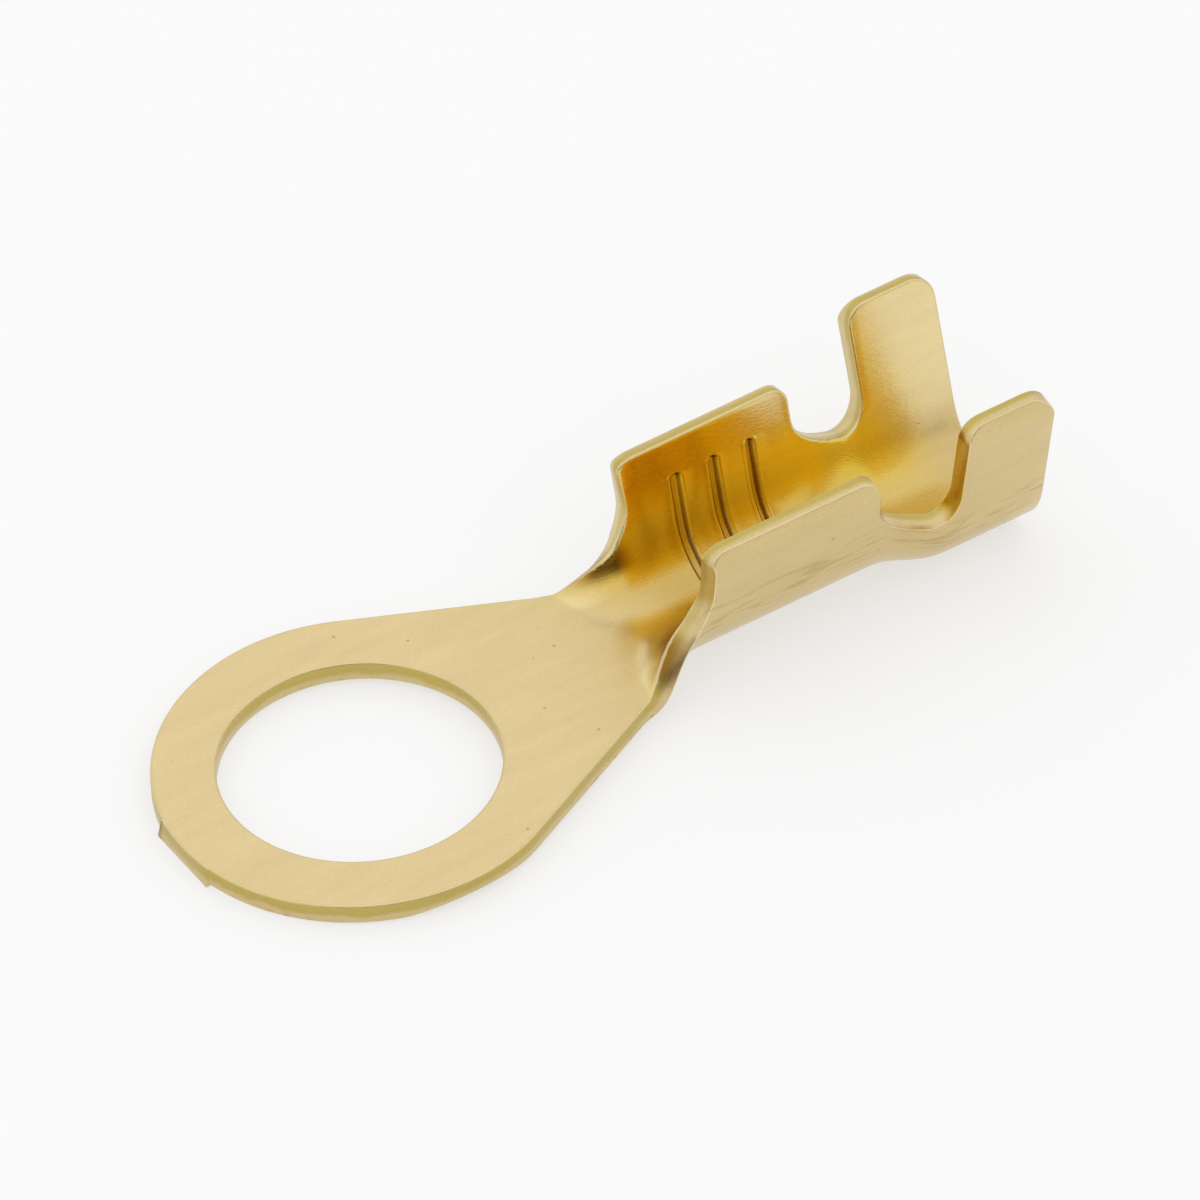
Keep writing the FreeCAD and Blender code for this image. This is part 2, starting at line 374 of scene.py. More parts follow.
# %% [markdown]
# The punch draws the sheet down as it enters, which rounds the upper rim softly and leaves
# the lower one crisper. A bevel on each rim gives that. It is what catches the light as a
# fine bright line. The faces in the middle plane are then taken away, because the mirrored
# half will join there.

# %% The rounded rims
TOP_ROUND, BOTTOM_ROUND = 0.07, 0.035

for height, size in ((STOCK, TOP_ROUND), (0.0, BOTTOM_ROUND)):
    rim = choose(terminal, "edges", lambda e: at_height(e, height) and not on_centre(e))
    bpy.ops.mesh.bevel(offset=size, offset_type="OFFSET", segments=3, profile=0.5,
                       affect="EDGES", clamp_overlap=False)
    print("rounded", rim, "rim edges at height", height)
choose(terminal, "faces", on_centre)
bpy.ops.mesh.delete(type="ONLY_FACE")

# %% [markdown]
# ## Cutting the blank into strips
#
# A large flat face can't bend, so the blank is bisected where the fold will need it: in
# narrow strips across the neck and the step, in strips along the bends, and in broad ones
# where the walls are straight. A plain subdivision would be as fine everywhere.

# %% Helpers for strips
FINE, BROAD = 0.09, 0.4


def strips(start, end, width):
    """List cut places from start to end, no further apart than width."""
    count = math.ceil((end - start) / width)
    return [start + (end - start) * i / count for i in range(count + 1)]


def cut(piece, place, across, region=None):
    """Bisect a piece, or the faces of a region of it, at a place along or across it."""
    if region is None:
        bpy.ops.mesh.select_all(action="SELECT")
    else:
        choose(piece, "faces", region)
    point = (0.0, place, 0.0) if across else (place, 0.0, 0.0)
    normal = (0.0, 1.0, 0.0) if across else (1.0, 0.0, 0.0)
    bpy.ops.mesh.bisect(plane_co=point, plane_no=normal, threshold=1e-5)


print("the step down takes", len(strips(STEP_START, STEP_START + STEP_LENGTH, FINE)), "cuts")


# %% Strips for the bends
BEND_REACH, WALL_REACH = 2.8, 5.9


def folded_part(face):
    """Tell whether a face lies behind the flat ring and tongue."""
    return face.calc_center_median().x > CURL_START - 0.3


for place in strips(CURL_START - 0.1, WIRE_FRONT, FINE):
    cut(terminal, place, False)
for place in strips(WIRE_FRONT, STEP_START, BROAD)[1:]:
    cut(terminal, place, False)
for place in strips(STEP_START, STEP_START + STEP_LENGTH, FINE)[1:]:
    cut(terminal, place, False)
for place in strips(STEP_START + STEP_LENGTH, INSULATION_REAR, BROAD)[1:-1]:
    cut(terminal, place, False)
for place in strips(0.0, BEND_REACH, FINE)[1:]:
    cut(terminal, place, True, folded_part)
for place in strips(BEND_REACH, WALL_REACH, BROAD)[1:]:
    cut(terminal, place, True, folded_part)
print("faces after the strips:", len(bmesh.from_edit_mesh(terminal.data).faces))

# %% [markdown]
# ## Serrations
#
# Three shallow grooves are pressed across the wire barrel while it is still flat, so that
# the wire's strands bite into them. The tool pushes the metal down, and a little of it
# wells up as a lip on each side. The wall towards the ring is steep and the other one
# leans, and each groove ends in a round tip a little below the wing's edge. They are real
# hollows here and not a bump, so the mesh is first cut at every line of their profile.

# %% Strips for the serrations
GROOVES = ((WIRE_FRONT + 1.27, 0.15), (WIRE_FRONT + 2.24, 0.13), (WIRE_FRONT + 3.19, 0.11))
GROOVE_WALLS = {-1: 0.05, 1: 0.11}
GROOVE_DEPTH = 0.13
GROOVE_HEIGHT = 2.78
GROOVE_END = blank_reach(WIRE_REAR, GROOVE_HEIGHT)
LIP_WIDTH = 0.1
LIP_RISE = 0.018
END_CUTS = (-0.12, -0.09, -0.06, -0.03, 0.0, 0.03)


def upper_side(face):
    """Tell whether a face lies on the upper side of the wire barrel's blank."""
    centre = face.calc_center_median()
    return centre.z > STOCK - 1e-4 and WIRE_FRONT < centre.x < WIRE_REAR


for groove, half_width in GROOVES:
    for side, wall in GROOVE_WALLS.items():
        for past in (LIP_WIDTH, LIP_WIDTH / 2, 0.0, -0.3 * wall, -0.7 * wall, -wall):
            cut(terminal, groove + side * (half_width + past), False, upper_side)
for place in END_CUTS:
    cut(terminal, GROOVE_END + place, True, upper_side)
print("the grooves end", round(GROOVE_END, 2), "mm out on the blank")

# %% [markdown]
# The tips of the wings are pressed thinner on the outer side, which leads them inwards when
# the crimping tool curls them. They need a few cuts of their own.

# %% Strips for the wing tips
TIP_LENGTH, TIP_RELIEF = 0.45, 0.2
TIP_REGION = 1.2
TIP_CUTS = (1.15, 1.0, 0.85, 0.6, 0.35)


def on_wire_wing(face):
    """Tell whether a face lies near the top of the wire barrel's wing."""
    centre = face.calc_center_median()
    return centre.y > WIRE_TOP - TIP_REGION and centre.x < WIRE_REAR + 0.01


def on_insulation_wing(face):
    """Tell whether a face lies near the top of the insulation barrel's wing."""
    centre = face.calc_center_median()
    return centre.y > INSULATION_TOP - TIP_REGION and centre.x > INSULATION_FRONT - 0.01


for top, wing in ((WIRE_TOP, on_wire_wing), (INSULATION_TOP, on_insulation_wing)):
    for share in TIP_CUTS:
        cut(terminal, top - TIP_LENGTH * share, True, wing)
bpy.ops.object.mode_set(mode="OBJECT")
print("faces after all the strips:", len(terminal.data.polygons))

# %% [markdown]
# ## Marks on the blank
#
# The sheared edge and the rims have finishes of their own. On the folded part they would
# be hard to find, and on the flat blank the height alone tells them apart. So each point
# is given a mark now, as an attribute of the mesh, which the material reads later.

# %% Mark the sheared edge and the rims
def points_of(mesh):
    """Read the places of the mesh's points, one to a row."""
    places = np.zeros(len(mesh.vertices) * 3)
    mesh.vertices.foreach_get("co", places)
    return places.reshape(-1, 3)


def mark(mesh, name, values):
    """Keep one number per point of the mesh under a name."""
    attribute = mesh.attributes.new(name, "FLOAT", "POINT")
    attribute.data.foreach_set("value", values)


mesh = terminal.data
flat_points = points_of(mesh)
height = flat_points[:, 2]
on_face = (height > STOCK - 1e-4) | (height < 1e-4)
on_rim = (height > STOCK - TOP_ROUND + 1e-3) | (height < BOTTOM_ROUND - 1e-3)
mark(mesh, "sheared", np.where(on_face, 0.0, 1.0))
mark(mesh, "rim", np.where(on_rim & ~on_face, 1.0, 0.0))
print("points on the sheared edge:", int((~on_face).sum()), "of", len(flat_points))

# %% [markdown]
# The grooves are pressed by moving points down, by a share that follows each groove's
# profile. The half width shrinks as a quarter circle at the far end, which makes the round
# tip. The walls are marked as well, so that the material can paint shade into the grooves.

# %% Press the grooves
TIP_START, TIP_ROUND = 0.15, 0.16

press = np.zeros(len(flat_points))
groove_shade = np.zeros(len(flat_points))
round_end = np.clip((flat_points[:, 1] - GROOVE_END + TIP_START) / TIP_ROUND, 0.0, 1.0)
for groove, half_width in GROOVES:
    half_width = half_width * np.sqrt(1.0 - round_end ** 2)
    past = flat_points[:, 0] - groove
    away = np.abs(past)
    wall = np.where(past < 0.0, GROOVE_WALLS[-1], GROOVE_WALLS[1])
    dent = np.clip((half_width - away) / wall, 0.0, 1.0)
    lip = np.clip((away - half_width) / LIP_WIDTH, 0.0, 1.0)
    press += LIP_RISE * np.sin(math.pi * lip) - GROOVE_DEPTH * dent
    # painted shade: the groove walls are marked to be darkened
    groove_shade += np.clip(4.0 * dent * (1.0 - dent) + 0.3 * dent, 0.0, 1.0)
fade = 1.0 - smooth(flat_points[:, 1], GROOVE_END - 0.09, 0.12)
fade[flat_points[:, 2] < STOCK - 1e-4] = 0.0
press *= fade
flat_points[:, 2] += press
mark(mesh, "groove", groove_shade * fade)
print("grooves reach", round(float(press.min()), 3), "lips", round(float(press.max()), 3))

# %% [markdown]
# The tab on the front of the ring was broken off the strip and not cut, so its face slants:
# its top follows the ring, and its foot stands out.

# %% Slant the tab and relieve the wing tips
ring_line = -np.sqrt(np.maximum(RING_RADIUS ** 2 - flat_points[:, 1] ** 2, 0.0))
slant = smooth(flat_points[:, 2], 0.05, 0.4) * (flat_points[:, 0] < ring_line)
flat_points[:, 0] += (ring_line - flat_points[:, 0]) * 0.85 * slant
print("points of the tab's face:", int((slant > 0.0).sum()))

top = np.where(flat_points[:, 0] < WIRE_REAR + 0.01, WIRE_TOP, INSULATION_TOP)
tip = np.clip((flat_points[:, 1] - top + TIP_LENGTH) / TIP_LENGTH, 0.0, 1.0)
flat_points[:, 2] += TIP_RELIEF * tip ** 1.2 * (1.0 - flat_points[:, 2] / STOCK)
mesh.vertices.foreach_set("co", flat_points.ravel())
print("points of the wing tips:", int((tip > 0.0).sum()))

# %% [markdown]
# ## The other half
#
# The half is mirrored while it is still flat, so both sides are the same and meet in a
# plane. Each point's place on the flat blank is then kept as an attribute, because the
# rolling grain of the sheet follows the metal round the bends.

# %% Mirror the blank
bpy.ops.object.modifier_add(type="MIRROR")
mirror = terminal.modifiers[-1]
mirror.use_axis = (False, True, False)
mirror.merge_threshold = 1e-4
bpy.ops.object.modifier_apply(modifier=mirror.name)

mesh = terminal.data
flat_points = points_of(mesh)
attribute = mesh.attributes.new("blank", "FLOAT_VECTOR", "POINT")
attribute.data.foreach_set("vector", flat_points.ravel())
print("the whole blank has", len(mesh.polygons), "faces")

# %% [markdown]
# ## Where each finish and each painted light lies
#
# Not all of the terminal looks alike. Inside the wire barrel a deep amber is painted as a
# reflection of the light that bounces between the walls, the neck carries painted dark
# reflections, and some spots are painted pale as highlights. Painting that into an image would
# tie it to pixels, so each finish and each painted light is a mark between 0 and 1, with soft
# limits that are places on the blank. A mark stays on the rolled faces or on the cut edges,
# and doesn't run over a rim from one to the other.

# %% The sides of the sheet
x, across, height = flat_points.T
near_side = across < 0.0
across = np.abs(across)
edge_mark = np.zeros(len(flat_points))
mesh.attributes["sheared"].data.foreach_get("value", edge_mark)
inside = (edge_mark < 0.5) & (height > STOCK / 2)
on_edge = edge_mark > 0.5


def patch(place, out, length, width):
    """Mark a soft patch at the same place on both sides of the blank."""
    return np.exp(-((x - place) / length) ** 4 - ((across - out) / width) ** 4)


print("points on the inner face:", int(inside.sum()), "and on the cut edge:", int(on_edge.sum()))

# %% [markdown]
# Light that bounces several times between two walls of brass turns amber, and that
# reflection is painted into the colour here. It begins on a slanting line behind the neck, is
# strongest on the walls, and is missing at the upper rear corners, which are painted pale
# instead, and behind the step. A painted shade darkens the barrel's floor.

# %% Painted amber reflection and painted shade inside the barrel
AMBER_START, AMBER_SLANT = WIRE_FRONT - 0.9, 0.55
AMBER_END = 14.0
# strength of the painted shade on the barrel's floor
FLOOR_SHADE = 0.36

# painted reflection: the amber of light bounced between the barrel's walls
walls = 0.35 + 0.65 * smooth(across, 0.9, 1.5)
start = smooth(x + AMBER_SLANT * across, AMBER_START, 2.0)
top_rear = (smooth(x, WIRE_FRONT + 2.0, 1.9) * smooth(across, WIRE_TOP - 1.7, 1.1)
            * (x < WIRE_REAR + 0.2))
rear = smooth(x + 0.3 * (across - 3.0), AMBER_END, 1.7)
amber_reflection = walls * start * (1.0 - 0.9 * top_rear) * (1.0 - 0.9 * rear) * inside
on_floor = 1.0 - smooth(across, 2.2, 1.6)
# painted shade: the barrel's floor is darkened
floor_shade = FLOOR_SHADE * start * on_floor * (1.0 - 0.45 * smooth(x, 10.6, 2.4)) * inside
share = float((amber_reflection > 0.5).sum() / inside.sum())
print("the amber covers", round(share, 2), "of the inner points")

# %% [markdown]
# The neck is bent the most, and dark patches are painted in its hollows, inside and on its
# cut edge, as painted dark reflections. Beside them painted highlights make the high spots
# pale, and the inside of the insulation barrel is painted paler too. On the near wing of that
# barrel the front cut face gets a painted reflection of the amber.

# %% Painted dark reflections and painted highlights
NECK_DARK_REFLECTION = (7.42, 2.28, 0.4, 0.4)
EDGE_DARK_REFLECTION = (7.12, 2.2, 0.34, 0.6)
NECK_HIGHLIGHT = (6.85, 1.75, 0.4, 0.45)
EDGE_HIGHLIGHT = (7.75, 2.9, 0.3, 0.8)
FRONT_CUT = (INSULATION_FRONT + 0.15, 3.9, 0.4, 1.6)

# painted dark reflections in the neck's hollows and on its cut edge
dark_reflection = 0.6 * patch(*NECK_DARK_REFLECTION) * inside
dark_reflection += 0.95 * patch(*EDGE_DARK_REFLECTION) * on_edge * (0.5 + height)
# painted highlights: paler inside the insulation barrel, at the neck's high spots, on its cut
# edge and at the upper rear corners
painted_highlight = smooth(x, INSULATION_FRONT - 0.8, 1.0) * smooth(across, 1.8, 1.2) * inside
painted_highlight += patch(*NECK_HIGHLIGHT) * inside + 0.4 * patch(*EDGE_HIGHLIGHT) * on_edge
painted_highlight += 0.9 * top_rear * inside
# painted reflection of the amber on the near front cut face of the insulation barrel
cut_face_reflection = patch(*FRONT_CUT) * near_side * on_edge

for name, values in (("barrel", amber_reflection + 0.8 * cut_face_reflection),
                     ("painted_shade_and_reflection", floor_shade + dark_reflection + 0.4 * cut_face_reflection),
                     ("painted_highlight", painted_highlight)):
    mark(mesh, name, np.clip(values, 0.0, 1.0))
    print(name, "marks", int((values > 0.05).sum()), "points")

# %% [markdown]
# ## Folding
#
# Each point now goes to its folded place by the rule above, which keeps the sheet's
# thickness. The result is held inside the box of the CAD part, which it could pass by the
# width of a rounding error.

# %% Fold the blank
ROOM = 2e-4

places = folded(flat_points[:, 0], flat_points[:, 1], flat_points[:, 2])
low, high = (np.array(corner) * 1000 for corner in cad_box)
places = np.clip(places, low + ROOM, high - ROOM)
mesh.vertices.foreach_set("co", places.ravel())
mesh.update()
print("folded size:", (places.max(axis=0) - places.min(axis=0)).round(2))

# %% [markdown]
# The mesh is merged, its normals are made to point outwards, and it is scaled to metres. A
# weighted normal keeps the broad faces flat and lets only the rims and bends look round.

# %% Close and smooth the sheet
bpy.ops.object.mode_set(mode="EDIT")
bpy.ops.mesh.select_all(action="SELECT")
bpy.ops.mesh.remove_doubles(threshold=1e-5)
bpy.ops.mesh.normals_make_consistent(inside=False)
bpy.ops.transform.resize(value=(0.001, 0.001, 0.001), center_override=(0.0, 0.0, 0.0))
bpy.ops.object.mode_set(mode="OBJECT")
bpy.ops.object.shade_smooth()
bpy.ops.object.modifier_add(type="WEIGHTED_NORMAL")
bpy.ops.object.modifier_apply(modifier=terminal.modifiers[-1].name)

check = bmesh.new()
check.from_mesh(terminal.data)
loose = sum(not edge.is_manifold for edge in check.edges)
print("faces", len(terminal.data.polygons), "open edges", loose,
      "volume", round(check.calc_volume() * 1e9, 2), "cubic mm")
check.free()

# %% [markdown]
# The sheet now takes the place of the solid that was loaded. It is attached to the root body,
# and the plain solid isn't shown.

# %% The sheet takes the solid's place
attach(terminal, "root")
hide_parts("ring_terminal")
print(terminal.name, "stands for the solid")

# %% [markdown]
# ## Brass
#
# Bare brass is a metal, so nearly all of its colour comes from what it reflects. The sheet
# is rolled, which leaves a fine grain along the strip. The sheared edges are deeper in
# colour, and the rims are painted paler as a highlight. One material can carry all of this
# when the mesh says where each finish lies, so the shader reads the marks and mixes by them.
#
# Adding and linking nodes takes many lines, so a helper adds a node, sets it and links it.

# %% The material, and a helper for its nodes
brass = bpy.data.materials.new("brass")
brass.use_nodes = True
tree = brass.node_tree


def add(tree, kind, inputs=None, **settings):
    """Add a node, set its properties and fill its inputs with values or other sockets."""
    node = tree.nodes.new(kind)
    for name, value in settings.items():
        setattr(node, name, value)
    for key, value in (inputs or {}).items():
        if isinstance(value, bpy.types.NodeSocket):
            tree.links.new(value, node.inputs[key])
        else:
            node.inputs[key].default_value = value
    return node


print("a new material has", len(tree.nodes), "nodes")

# %% [markdown]
# The same few sums come up again and again: adding, multiplying, a soft band between two
# limits, and a mix of two colours.

# %% Sums, bands and mixes
def maths(tree, operation, first, second):
    """Work out one value from two."""
    return add(tree, "ShaderNodeMath", {0: first, 1: second}, operation=operation).outputs[0]


def plus(tree, first, second):
    """Add two values."""
    return maths(tree, "ADD", first, second)


def times(tree, first, second):
    """Multiply two values."""
    return maths(tree, "MULTIPLY", first, second)


def band(tree, value, low, high, at_low=0.0, at_high=1.0):
    """Turn a value softly from one level to another between two limits."""
    node = add(tree, "ShaderNodeMapRange", {0: value, 1: low, 2: high, 3: at_low, 4: at_high},
               interpolation_type="SMOOTHSTEP")
    return node.outputs[0]


def tint(tree, factor, first, second, blend="MIX"):
    """Mix two colours."""
    node = add(tree, "ShaderNodeMix", {0: factor, 6: first, 7: second},
               data_type="RGBA", blend_type=blend)
    return node.outputs[2]


print("sums, soft bands and colour mixes are ready")

# %% [markdown]
# The shader is a plain metal. Its patterns lie on the flat blank's own coordinates, which
# the mesh carries, so they follow the sheet through every bend and never stretch.

# %% The metal and its marks
shader = tree.nodes["Principled BSDF"]
shader.inputs["Metallic"].default_value = 1.0


def marked(name):
    """Read one of the marks of the sheet."""
    return add(tree, "ShaderNodeAttribute", attribute_name=name).outputs["Fac"]


blank = add(tree, "ShaderNodeAttribute", attribute_name="blank").outputs["Vector"]
parts = add(tree, "ShaderNodeSeparateXYZ", {0: blank})
blank_x, blank_y, blank_z = (parts.outputs[i] for i in range(3))
sheared = marked("sheared")
rim = marked("rim")
print("brass has", len(tree.nodes), "nodes so far")

# %% [markdown]
# Four noises give the sheet its life. The grain is drawn out along the strip by the rolls,
# the speckle is even, and the cloud is a broad unevenness of the surface. The strokes run
# through the thickness, where the punch scraped along the cut edge.

# %% The patterns of the sheet
def stretched(place, scale, detail):
    """Make noise that is stretched differently along and across the blank."""
    mapped = add(tree, "ShaderNodeMapping", {0: place, 3: scale}).outputs[0]
    noise = add(tree, "ShaderNodeTexNoise", {"Vector": mapped, "Scale": 1.0, "Detail": detail})
    return noise.outputs[0]


GRAIN_LINES = (6.0, 24.0, 24.0)
grain = stretched(blank, GRAIN_LINES, 2.0)
speckle = stretched(blank, (20.0, 20.0, 20.0), 1.0)
cloud = stretched(blank, (0.45, 2.2, 2.2), 2.0)
strokes = stretched(blank, (30.0, 30.0, 1.6), 1.0)
print("the grain is drawn out", GRAIN_LINES[1] / GRAIN_LINES[0], "times along the strip")

# %% [markdown]
# The colours are those of brass with different skins. Towards the barrels the rolled sheet
# is a little deeper. A cut edge has two bands: the punch shears the upper part smooth, and
# the lower part breaks away paler, with an uneven line between them. The line lies higher
# or lower with the cloud noise, and lower on the wings.

# %% The colours of the sheet and of its cut edge
ROLLED = (0.735, 0.58, 0.305, 1.0)
SHEARED = (0.54, 0.415, 0.12, 1.0)
BROKEN = (0.68, 0.54, 0.27, 1.0)

colour = tint(tree, band(tree, blank_x, 2.5, 7.0, 0.0, 0.22), ROLLED, SHEARED)
break_line = plus(tree, blank_z, times(tree, cloud, 0.3))
break_line = maths(tree, "SUBTRACT", break_line, band(tree, blank_x, 6.5, 9.0, 0.0, 0.12))
cut_colour = tint(tree, band(tree, break_line, 0.26, 0.42), BROKEN, SHEARED)
colour = tint(tree, sheared, colour, cut_colour)
print("brass has", len(tree.nodes), "nodes so far")

# %% [markdown]
# The finishes and the painted light are laid over the sheet in this order: first the painted
# highlights, then the painted amber reflection, then the painted shade in the grooves, then
# the painted shade and dark reflections in the hollows, and last the rims, painted paler as a
# highlight.

# %% The finishes and the painted light over it
# the colour of the painted amber reflection
AMBER_REFLECTED = (0.94, 0.665, 0.055, 1.0)
# the dark colour of the real specks, scuffs and print, and of the painted shade and dark
# reflections
DARK_STAIN_AND_SHADE = (0.27, 0.12, 0.012, 1.0)
# the pale colour of the painted highlights, on the rims and on the pale patches
HIGHLIGHT_PALE = (0.86, 0.72, 0.42, 1.0)

# painted light: highlights, amber reflection, shade in the grooves, shade and dark reflections
# in the hollows, and highlighted rims
for factor, finish in ((times(tree, marked("painted_highlight"), 0.75), HIGHLIGHT_PALE),
                       (marked("barrel"), AMBER_REFLECTED),
                       (times(tree, marked("groove"), 0.75), DARK_STAIN_AND_SHADE),
                       (marked("painted_shade_and_reflection"), DARK_STAIN_AND_SHADE),
                       (times(tree, rim, 0.6), HIGHLIGHT_PALE)):
    colour = tint(tree, factor, colour, finish)
print("brass has", len(tree.nodes), "nodes so far")

# %% [markdown]
# In even light from all round, a bump hardly shows, so the grain is put into the colour as
# well: the noises together darken or lighten it by a few parts in a hundred.

# %% The grain in the colour
shade = plus(tree, times(tree, grain, 0.12), times(tree, speckle, 0.15))
shade = plus(tree, shade, times(tree, cloud, 0.16))
shade = plus(tree, shade, 0.785)
colour = tint(tree, 1.0, colour, shade, "MULTIPLY")
print("brass has", len(tree.nodes), "nodes so far")

# %% [markdown]
# A handled part has marks. Small dark specks lie here and there: a Voronoi pattern gives
# one centre per cell, and only some of the cells keep theirs. Scuffs run along the outside
# of the bend, where the terminal slid through the tool.

# %% Specks and scuffs
spots = add(tree, "ShaderNodeTexVoronoi", {"Vector": blank, "Scale": 1.6, "Randomness": 1.0})
spot = band(tree, spots.outputs["Distance"], 0.03, 0.08, 1.0, 0.0)
some = add(tree, "ShaderNodeSeparateColor", {0: spots.outputs["Color"]}).outputs[0]
spot = times(tree, spot, band(tree, some, 0.55, 0.6))

outside = band(tree, blank_z, 0.05, 0.2, 1.0, 0.0)
bend = maths(tree, "ABSOLUTE", blank_y, 0.0)
bend = times(tree, band(tree, bend, 2.1, 2.5), band(tree, bend, 3.0, 3.4, 1.0, 0.0))
scuff = stretched(blank, (0.9, 6.0, 3.0), 2.0)
scuff = times(tree, band(tree, scuff, 0.50, 0.64), times(tree, bend, outside))
print("brass has", len(tree.nodes), "nodes so far")

# %% [markdown]
# The die pressed a faint round print into the outside of the insulation barrel. It is the
# distance to a centre on the blank, turned into a thin line, and only its lower part shows.

# %% The print of the die
PRINT_CENTRE = (13.1, 4.7, 0.0)
PRINT_RADIUS = 2.14

side = add(tree, "ShaderNodeVectorMath", {0: blank}, operation="ABSOLUTE").outputs[0]
side = add(tree, "ShaderNodeVectorMath", {0: side, 1: (1.0, 1.0, 0.0)},
           operation="MULTIPLY").outputs[0]
reach = add(tree, "ShaderNodeVectorMath", {0: side, 1: PRINT_CENTRE},
            operation="DISTANCE").outputs["Value"]
line = maths(tree, "ABSOLUTE", maths(tree, "SUBTRACT", reach, PRINT_RADIUS), 0.0)
line = times(tree, band(tree, line, 0.02, 0.09, 1.0, 0.0), band(tree, speckle, 0.3, 0.6))
line = plus(tree, line, band(tree, reach, 1.7, 2.15, 0.3, 0.0))
low_down = add(tree, "ShaderNodeSeparateXYZ", {0: side}).outputs[1]
low_down = times(tree, outside, band(tree, low_down, 2.8, 3.3, 1.0, 0.0))
line = times(tree, line, times(tree, low_down, band(tree, blank_x, 12.4, 12.9)))
print("brass has", len(tree.nodes), "nodes so far")

# %% [markdown]
# Where marks overlap, the stronger one counts, so that they don't add up. They take the
# colour of old oil, at well under its full strength.

# %% Lay the marks over the colour
marks = maths(tree, "MAXIMUM", times(tree, spot, 0.45), times(tree, scuff, 0.22))
marks = maths(tree, "MAXIMUM", marks, times(tree, line, 0.3))
colour = tint(tree, marks, colour, DARK_STAIN_AND_SHADE)
tree.links.new(colour, shader.inputs["Base Color"])
print("brass has", len(tree.nodes), "nodes so far")

# %% [markdown]
# Roughness decides how sharp the reflections are. Rolled brass is satin, and a cut edge and
# the marks are a little rougher. A slight bump adds the grain, and on the cut edge the
# strokes of the punch.

# %% Roughness and bump
GRAIN_DEPTH = 0.000008

rough = plus(tree, times(tree, grain, 0.16), 0.15)
rough = plus(tree, rough, times(tree, sheared, 0.06))
rough = plus(tree, rough, times(tree, marks, 0.3))
tree.links.new(rough, shader.inputs["Roughness"])

on_sheet = times(tree, grain, maths(tree, "SUBTRACT", 1.0, sheared))
relief = plus(tree, on_sheet, times(tree, times(tree, strokes, sheared), 0.2))
bump = add(tree, "ShaderNodeBump",
           {"Strength": 0.5, "Distance": GRAIN_DEPTH, "Height": relief})
tree.links.new(bump.outputs[0], shader.inputs["Normal"])
terminal.data.materials.append(brass)
print("brass has", len(tree.nodes), "nodes")

# %% [markdown]
# ## Floor, light and camera
#
# The terminal lies on a sheet of white paper. It touches the paper at the front of the
# ring and under the insulation barrel, which hangs lower, so the paper is tilted by about a
# degree in the part's own frame.

# %% The floor
FLOOR_SIZE = 2.0
REST_FRONT = Vector((TAB_END, 0.0, 0.0)) * 0.001
REST_BACK = Vector((STEP_START + STEP_LENGTH, 0.0, -DROP)) * 0.001

slope = math.atan2(REST_FRONT.z - REST_BACK.z, REST_BACK.x - REST_FRONT.x)
bpy.ops.object.select_all(action="DESELECT")
bpy.ops.mesh.primitive_plane_add(size=FLOOR_SIZE, location=(REST_FRONT + REST_BACK) / 2,
                                 rotation=(0.0, slope, 0.0))
floor = bpy.context.object
floor.name = "floor"
print("the paper is tilted by", round(math.degrees(slope), 2), "degrees")

# %% [markdown]
# The camera, and the metal's reflections, see the paper lifted towards white, as in an
# overexposed background. The lift is only a part of what they see, so the paper still
# keeps the terminal's shadow, and no more light falls on the brass.

# %% White paper
PAPER = (0.9, 0.9, 0.9, 1.0)
PAPER_ROUGHNESS = 0.9
LIFT = 0.6

paper = bpy.data.materials.new("white_paper")
paper.use_nodes = True
tree = paper.node_tree
fibre = tree.nodes["Principled BSDF"]
fibre.inputs["Base Color"].default_value = PAPER
fibre.inputs["Roughness"].default_value = PAPER_ROUGHNESS
rays = add(tree, "ShaderNodeLightPath")
seen = maths(tree, "MAXIMUM", rays.outputs["Is Camera Ray"], rays.outputs["Is Glossy Ray"])
white = add(tree, "ShaderNodeEmission", {"Color": (1.0, 1.0, 1.0, 1.0), "Strength": 1.0})
lifted = add(tree, "ShaderNodeMixShader",
             {0: times(tree, seen, LIFT), 1: fibre.outputs[0], 2: white.outputs[0]})
tree.links.new(lifted.outputs[0], tree.nodes["Material Output"].inputs["Surface"])
floor.data.materials.append(paper)
print("the paper reflects", PAPER[0], "and is lifted by", LIFT)

# %% [markdown]
# A light tent is a white box that lights the object evenly from all round. Its front is
# open for the camera, and the dark room shows there just above the table. Metal needs that
# dark strip: its reflection draws the folds at the neck.

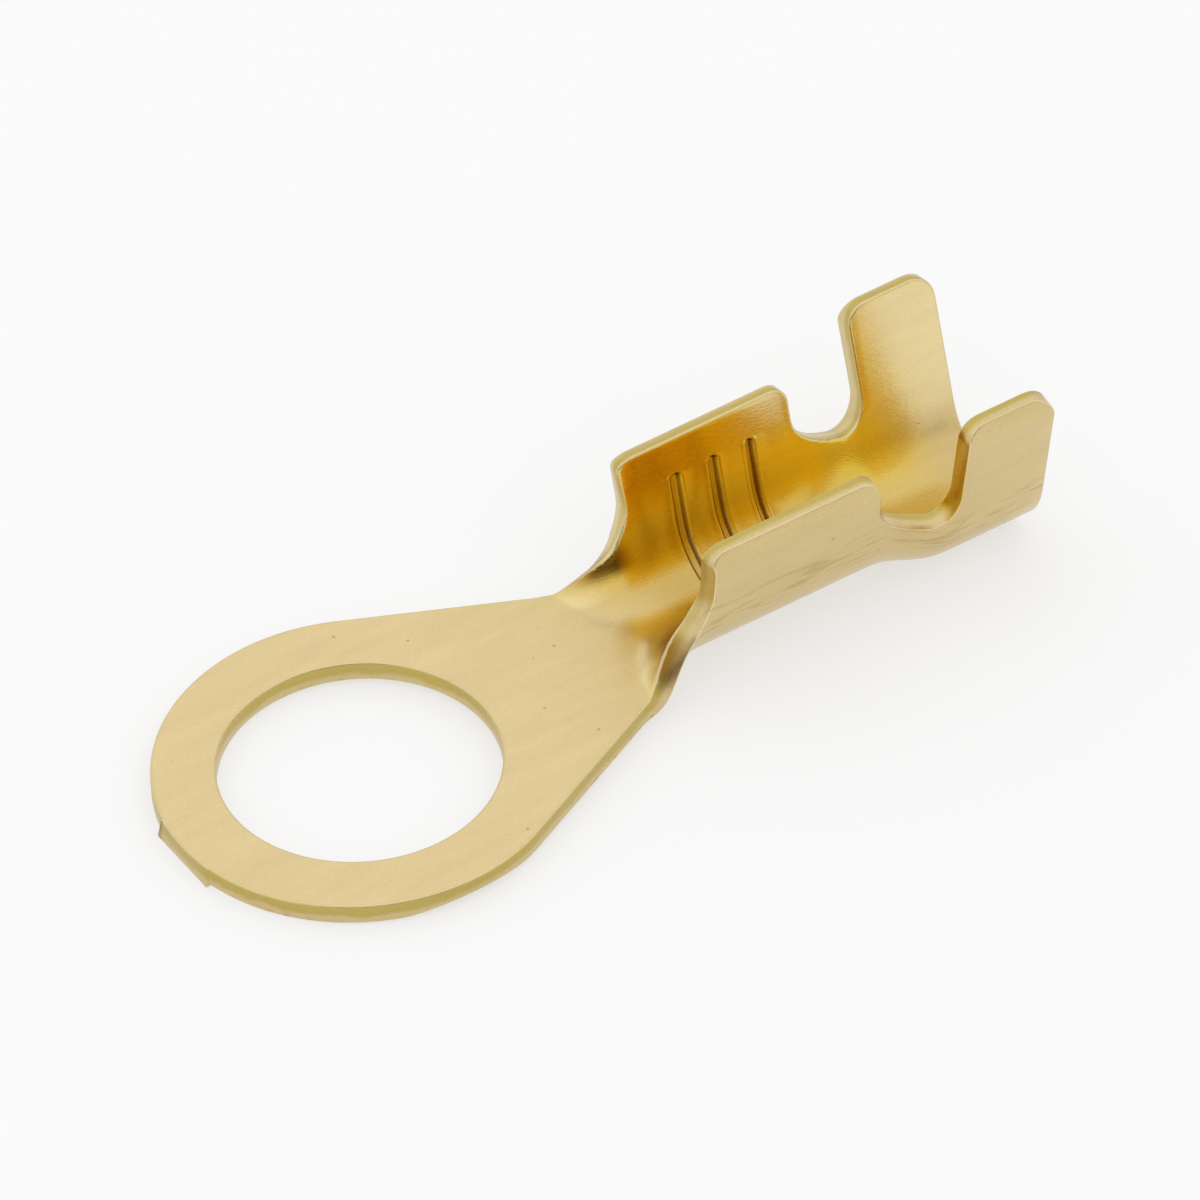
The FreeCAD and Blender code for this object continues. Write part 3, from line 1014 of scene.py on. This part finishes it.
# %% The light tent
TENT_FRONT = (-0.34, -0.94, 0.0)
ROOM_DARKNESS = 0.93

world = bpy.data.worlds.new("light_tent")
bpy.context.scene.world = world
world.use_nodes = True
tree = world.node_tree
direction = add(tree, "ShaderNodeTexCoord").outputs["Generated"]
upward = add(tree, "ShaderNodeSeparateXYZ", {0: direction}).outputs[2]
strip = times(tree, band(tree, upward, -0.05, 0.02), band(tree, upward, 0.18, 0.36, 1.0, 0.0))
front = add(tree, "ShaderNodeVectorMath", {0: direction, 1: TENT_FRONT},
            operation="DOT_PRODUCT").outputs["Value"]
front = band(tree, front, 0.68, 0.88)
dark = times(tree, times(tree, strip, front), ROOM_DARKNESS)
level = maths(tree, "SUBTRACT", 1.0, dark)
level = times(tree, level, band(tree, upward, -0.1, 0.7, 0.88, 1.03))
seen = add(tree, "ShaderNodeLightPath").outputs["Is Camera Ray"]
level = maths(tree, "MAXIMUM", level, seen)
tree.links.new(level, tree.nodes["Background"].inputs["Strength"])
tree.nodes["Background"].inputs["Color"].default_value = (1.0, 1.0, 1.0, 1.0)
print("the tent has", len(tree.nodes), "nodes and no lamp")

# %% [markdown]
# The camera stands as in the photograph: in front of the ring and to its side, looking down
# by about 43 degrees, from so far away that the perspective is weak. Its three directions
# are the rows of its turning matrix.

# %% The camera
CAMERA_PLACE = (-0.142131, -0.251614, 0.272921)
RIGHT = Vector((0.83915, -0.54213, -0.04386))
UP = Vector((0.39645, 0.55447, 0.73170))
AHEAD = Vector((0.37237, 0.63139, -0.68021))
SENSOR_WIDTH = 36.0
LENS = 552.58

bpy.ops.object.camera_add(location=CAMERA_PLACE)
camera = bpy.context.object
camera.rotation_euler = Matrix((RIGHT, UP, -AHEAD)).transposed().to_euler()
camera.data.sensor_width = SENSOR_WIDTH
camera.data.lens = LENS
bpy.context.scene.camera = camera
bpy.context.scene.view_settings.view_transform = "Standard"
print("the camera looks down by", round(math.degrees(math.asin(-AHEAD.z)), 1), "degrees")

# %% [markdown]
# Last, the view layer is brought up to date.

# %% The end
bpy.context.view_layer.update()
